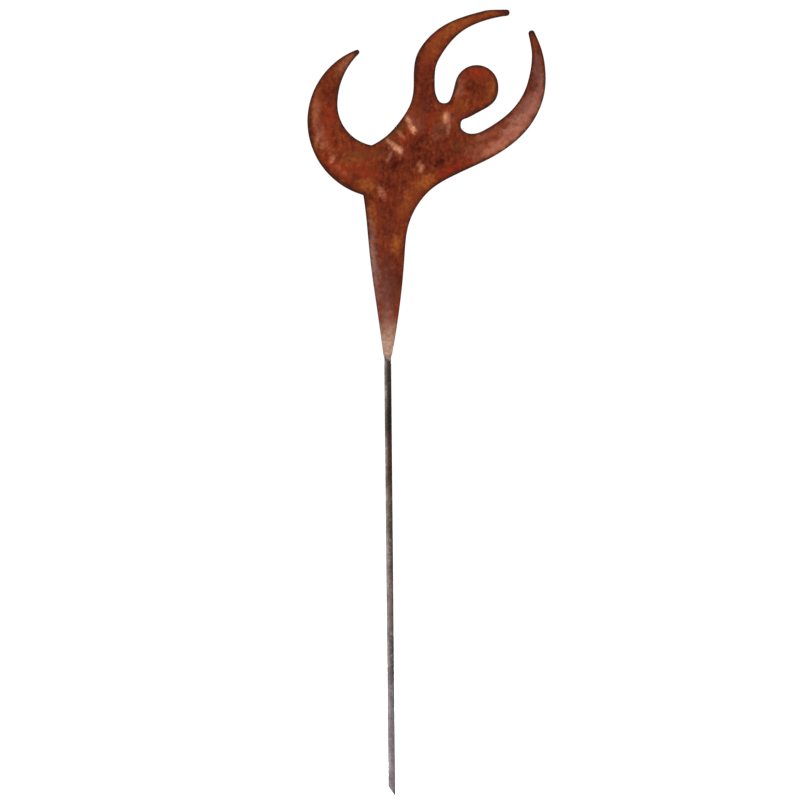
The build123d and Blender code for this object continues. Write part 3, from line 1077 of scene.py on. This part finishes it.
# %% Material: rusted plate, its tones
plate_rust, tree, steel = new_material("plate_rust")
place = in_millimetres(tree)
rust = use(tree, mottle, [("Place", place), ("Cloud Size", 13.0), ("Contrast", 0.95)])
drips = add(tree, "Mapping", [("Vector", place), ("Scale", (1.0, 1.0, 0.28))]).outputs[0]
streak = between(tree, cloud(tree, drips, 3.4, 4.0, 0.6, 44.0), 0.50, 0.70, 0.0, 0.55)
colour = blend_colours(tree, streak, rust["Color"], tone(76, 27, 15))
smears = add(tree, "Mapping", [("Vector", place), ("Scale", (1.0, 1.0, 0.62))]).outputs[0]
blotched = maths(tree, "MULTIPLY_ADD", painted(tree, "blotched"), 0.52, 0.08)
for size, shift, start, hue in ((3.8, 60.0, 0.50, tone(64, 19, 10)),
                                (3.0, 66.0, 0.53, tone(166, 66, 38)),
                                (2.4, 72.0, 0.55, tone(78, 42, 20))):
    spot = between(tree, cloud(tree, smears, size, 2.0, 0.55, shift), start, start + 0.12)
    colour = blend_colours(tree, product(tree, spot, blotched), colour, hue)
tone_plan = {
    "violet": (tone(86, 40, 37), 3.0, 0.45), "maroon": (tone(66, 17, 9), 3.4, 0.25),
    "red": (tone(148, 40, 19), 3.6, 0.30), "orange": (tone(160, 88, 36), 3.2, 0.30),
    # the rosy tone also carries a painted sheen, and the mauve tone a painted highlight
    "olive": (tone(86, 58, 30), 2.0, 0.40), "rosy_dust_and_sheen": (tone(172, 104, 80), 4.0, 0.55),
    "mauve_tint_and_highlight": (tone(150, 122, 114), 4.0, 0.70),
    # the sooty tone also carries the painted shade along the rod on the back
    "pale": (tone(222, 148, 112), 1.8, 0.45), "soot_and_shade": (tone(46, 32, 24), 1.8, 0.25),
}
for number, (name, (hue, grain_size, cover)) in enumerate(tone_plan.items()):
    colour = use(tree, sponged, [("Place", place), ("Below", colour), ("Tone", hue),
                                 ("Amount", painted(tree, name)), ("Grain Size", grain_size),
                                 ("Shift", 2.0 + 3.7 * number), ("Cover", cover)])["Color"]
print("tones, from the first to the last:", ", ".join(tone_plan))


# %% [markdown]
# Three things lie over the tones: a paler strip above the stem's foot, the dark rim, and the cut
# wall. The wall has no patina to speak of. It is a dark even brown, with the fine drag lines of
# the jet: noise along the cut only, which is bent back more and more with depth.

# %% Material: rusted plate, its foot, rim and cut wall
# a paler tone towards the stem's foot
colour = use(tree, sponged, [("Place", place), ("Below", colour), ("Tone", tone(184, 150, 130)),
                             ("Amount", painted(tree, "dressed")), ("Grain Size", 2.2),
                             ("Cover", 0.6)])["Color"]
rim_mask = use(tree, rimmed, [("Place", place), ("Distance", painted(tree, "rim")),
                              ("Width", 3.6)])["Mask"]
colour = blend_colours(tree, product(tree, rim_mask, 0.88), colour, tone(52, 24, 17))
wall_mask = painted(tree, "wall")
wall_rust = use(tree, mottle, [("Place", place), ("Body", tone(84, 40, 26)),
                               ("Deep", tone(50, 28, 21)), ("Warm", tone(120, 62, 34)),
                               ("Cloud Size", 7.0)])
colour = blend_colours(tree, wall_mask, colour, wall_rust["Color"])
y = add(tree, "SeparateXYZ", [(0, place)]).outputs["Y"]
depth = maths(tree, "ADD", y, -float(plate_front))
curl = product(tree, maths(tree, "POWER", depth, 2.0), drag_curl)
trail = maths(tree, "ADD", painted(tree, "along"), curl)
lines = add(tree, "TexNoise", [("W", trail), ("Scale", 2.6), ("Detail", 3.0)],
            noise_dimensions="1D").outputs["Fac"]
on_wall = product(tree, product(tree, lines, wall_mask), 3.0)
height = maths(tree, "ADD", rust["Height"], on_wall)
finish_steel(tree, steel, colour, rust["Roughness"], (height, 0.00016, 0.85), gloss=0.06)
plate.data.materials.append(plate_rust)


# %% [markdown]
# ## The rod's skin
# The rod tells its story from top to bottom: a dark band below the figure, then brown, then a
# greying weathered stretch, and below the soil line a crust with a lilac-grey bloom.
# A colour ramp along the height carries the main tones, and noise moves its borders up and down,
# so there are no straight bands.

# %% Material: rod, its tones from foot to top
rod_skin, tree, steel = new_material("rod_skin")
place = in_millimetres(tree)
parts = add(tree, "SeparateXYZ", [(0, place)]).outputs
drift = product(tree, maths(tree, "SUBTRACT", cloud(tree, place, 9.0, 4.0), 0.5), 26.0)
level = maths(tree, "ADD", parts["Z"], drift)
low_end, high_end = float(rod_low[2]), float(rod_high[2])
way_up = add(tree, "MapRange", [("Value", level), ("From Min", low_end),
                                ("From Max", high_end)]).outputs[0]
# the darkest stop, at 178 mm, is a dark band below the figure
story = [(-160, tone(144, 136, 146)), (-113, tone(152, 144, 152)), (-75, tone(134, 128, 134)),
         (-53, tone(130, 124, 130)), (-33, tone(106, 100, 104)), (-13, tone(124, 112, 114)),
         (4, tone(148, 132, 132)), (35, tone(134, 114, 114)), (55, tone(108, 102, 98)),
         (90, tone(112, 106, 96)), (118, tone(110, 94, 86)), (136, tone(86, 56, 35)),
         (160, tone(94, 64, 46)), (178, tone(26, 12, 5)), (194, tone(62, 40, 26)),
         (226, tone(86, 74, 62)), (240, tone(70, 50, 42)), (297, tone(86, 52, 38))]
ramp = add(tree, "ValToRGB", [("Fac", way_up)])
stops = ramp.color_ramp.elements
while len(stops) < len(story):
    stops.new(0.5)
for stop, (z, hue) in zip(stops, story):
    stop.position, stop.color = (z - low_end) / (high_end - low_end), hue
crust = use(tree, mottle, [("Place", place), ("Body", tone(118, 108, 108)),
                           ("Deep", tone(58, 46, 44)), ("Warm", tone(150, 128, 118)),
                           ("Cloud Size", 8.0), ("Grain Size", 0.45), ("Contrast", 1.0)])
colour = blend_colours(tree, 0.75, ramp.outputs["Color"], crust["Color"], "SOFT_LIGHT")
print(f"rod: {len(story)} tones between {low_end:.0f} and {high_end:.0f} mm")


# %% [markdown]
# Over those tones lie rust freckles and a chalky film, as dried soil and weather leave them. The
# film is thick low down, and there is little of it in the darkest band. On the left side the film
# tone is laid on thicker as painted light. The right side is darker above the soil as painted
# shade, and a little lighter below it.

# %% Material: rod, its freckles, film, painted side light and shade, and lap
dark_band_height = 178.0
freckle = cloud(tree, place, 2.4, 4.0, 0.65, 21.0)
colour = use(tree, sponged, [("Place", place), ("Below", colour), ("Tone", tone(104, 62, 44)),
                             ("Amount", between(tree, freckle, 0.56, 0.72, 0.0, 0.7)),
                             ("Grain Size", 1.0), ("Shift", 5.0)])["Color"]
film = product(tree, between(tree, cloud(tree, place, 3.2, 4.0, 0.6, 33.0), 0.52, 0.70),
               between(tree, parts["Z"], 150.0, 40.0, 0.10, 0.8))
# painted light: the left side of the rod is lightened with the film tone, broken up by noise
side_light_breakup = between(tree, cloud(tree, place, 30.0, 3.0, 0.6, 51.0), 0.35, 0.55, 0.3, 1.0)
painted_lit_left_side = product(tree, between(tree, parts["X"], 0.2, -2.6, 0.0, 0.85), side_light_breakup)
from_dark_band = maths(tree, "ABSOLUTE", maths(tree, "SUBTRACT", parts["Z"], dark_band_height))
film = product(tree, maths(tree, "MAXIMUM", film, painted_lit_left_side),
               between(tree, from_dark_band, 5.0, 20.0, 0.30, 1.0))
colour = use(tree, sponged, [("Place", place), ("Below", colour), ("Tone", tone(162, 150, 144)),
                             ("Amount", film), ("Grain Size", 1.5), ("Shift", 9.0),
                             ("Cover", 0.5)])["Color"]
lengthwise = add(tree, "Mapping", [("Vector", place), ("Scale", (1.0, 1.0, 0.45))]).outputs[0]
patchy = between(tree, cloud(tree, lengthwise, 5.0, 3.0, 0.6, 57.0), 0.35, 0.65, 0.76, 1.24)
# painted shade: the right side of the rod is darker above the soil, and a little lighter below it
painted_shade_right_side = between(tree, parts["X"], 0.0, 2.6)
right_side_shade_factor = between(tree, parts["Z"], -70.0, -30.0, 1.06, 0.66)
painted_side_shade = maths(tree, "MULTIPLY_ADD", painted_shade_right_side, maths(tree, "SUBTRACT", right_side_shade_factor, 1.0), 1.0)
colour = shaded(tree, colour, product(tree, patchy, painted_side_shade))
lap_rust = use(tree, mottle, [("Place", place), ("Body", tone(98, 52, 34)),
                              ("Deep", tone(58, 32, 24)), ("Warm", tone(140, 84, 48)),
                              ("Cloud Size", 6.0)])
colour = blend_colours(tree, painted(tree, "lap"), colour, lap_rust["Color"])
worn = between(tree, freckle, 0.40, 0.62, 0.46, 0.78)
finish_steel(tree, steel, colour, worn, (crust["Height"], 0.0003, 0.9), gloss=0.20)
rod.data.materials.append(rod_skin)


# %% [markdown]
# ## Weld metal
# Weld is purer than the sheet, so it rusts in its own way: dark, tight scale on the crests, and
# orange powder that stays in the ripples. The front weld was ground, so it is paler and tan, with
# fine scratches from the disc.

# %% Material: raw beads
bead_rust, tree, steel = new_material("bead_rust")
place = in_millimetres(tree)
rust = use(tree, mottle, [("Place", place), ("Body", tone(86, 52, 38)), ("Deep", tone(44, 30, 26)),
                          ("Warm", tone(150, 88, 46)), ("Cloud Size", 2.2), ("Grain Size", 0.3)])
scale = use(tree, sponged, [("Place", place), ("Below", rust["Color"]),
                            ("Tone", tone(118, 96, 84)), ("Grain Size", 0.5), ("Shift", 14.0),
                            ("Amount", between(tree, cloud(tree, place, 1.8, 3.0), 0.5, 0.7))])
glassy = between(tree, scale["Mask"], 0.0, 1.0, 0.72, 0.45)
finish_steel(tree, steel, scale["Color"], glassy, (rust["Height"], 0.00008, 0.7), gloss=0.4)


# %% [markdown]
# The dressed weld was bright for a day, and has only flash rust. Its scratches are noise that is
# squeezed in height, so they run level, as the disc ran. Smoke has settled on its lower left, and
# the grinder never reached its back, beside the rod.

# %% Material: dressed weld
dressed, tree, steel = new_material("dressed_weld")
place = in_millimetres(tree)
rust = use(tree, mottle, [("Place", place), ("Body", tone(154, 126, 114)),
                          ("Deep", tone(112, 88, 78)), ("Warm", tone(178, 142, 122)),
                          ("Cloud Size", 3.0), ("Grain Size", 0.35), ("Contrast", 0.7)])
squeeze = add(tree, "Mapping", [("Vector", place), ("Scale", (0.5, 0.5, 4.0))]).outputs[0]
scratch = cloud(tree, squeeze, 0.5, 3.0, 0.7, 4.0)
parts = add(tree, "SeparateXYZ", [(0, place)]).outputs
slanted = maths(tree, "MULTIPLY_ADD", parts["X"], 0.83, parts["Z"])
weld_tip = float(weld_foot_low[2])
smoke = between(tree, slanted, weld_tip + 1.4, weld_tip + 3.2, 1.0, 0.0)
smoky = use(tree, sponged, [("Place", place), ("Below", rust["Color"]), ("Tone", tone(72, 58, 50)),
                            ("Amount", smoke), ("Cover", 0.6), ("Grain Size", 0.9),
                            ("Shift", 2.0)])["Color"]
unseen = between(tree, parts["Y"], -3.9, -2.2)
colour = blend_colours(tree, unseen, smoky, tone(66, 50, 42))
scratched = maths(tree, "ADD", rust["Height"], product(tree, scratch, 1.5))
finish_steel(tree, steel, colour, between(tree, scratch, 0.3, 0.7, 0.45, 0.70),
             (scratched, 0.00008, 0.6), gloss=0.4)

for node_name, piece in bead_pieces.items():
    piece.data.materials.append(dressed if node_name == "weld_foot" else bead_rust)


# %% [markdown]
# ## Hand the pieces over
# Every piece rides on the one body that the imported model has, and stands for its imported piece,
# which is hidden.

# %% Ride and replace
for node_name, piece, slot_name in [("figure_plate", plate, "rusted_plate"),
                                    ("stake_rod", rod, "rod_steel"),
                                    *((n, p, "weld_bead") for n, p in bead_pieces.items())]:
    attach(piece, "root")
    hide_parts(node_name)

low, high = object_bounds()
print("visual box in mm:", [round(v / MM, 1) for v in (*low, *high)])
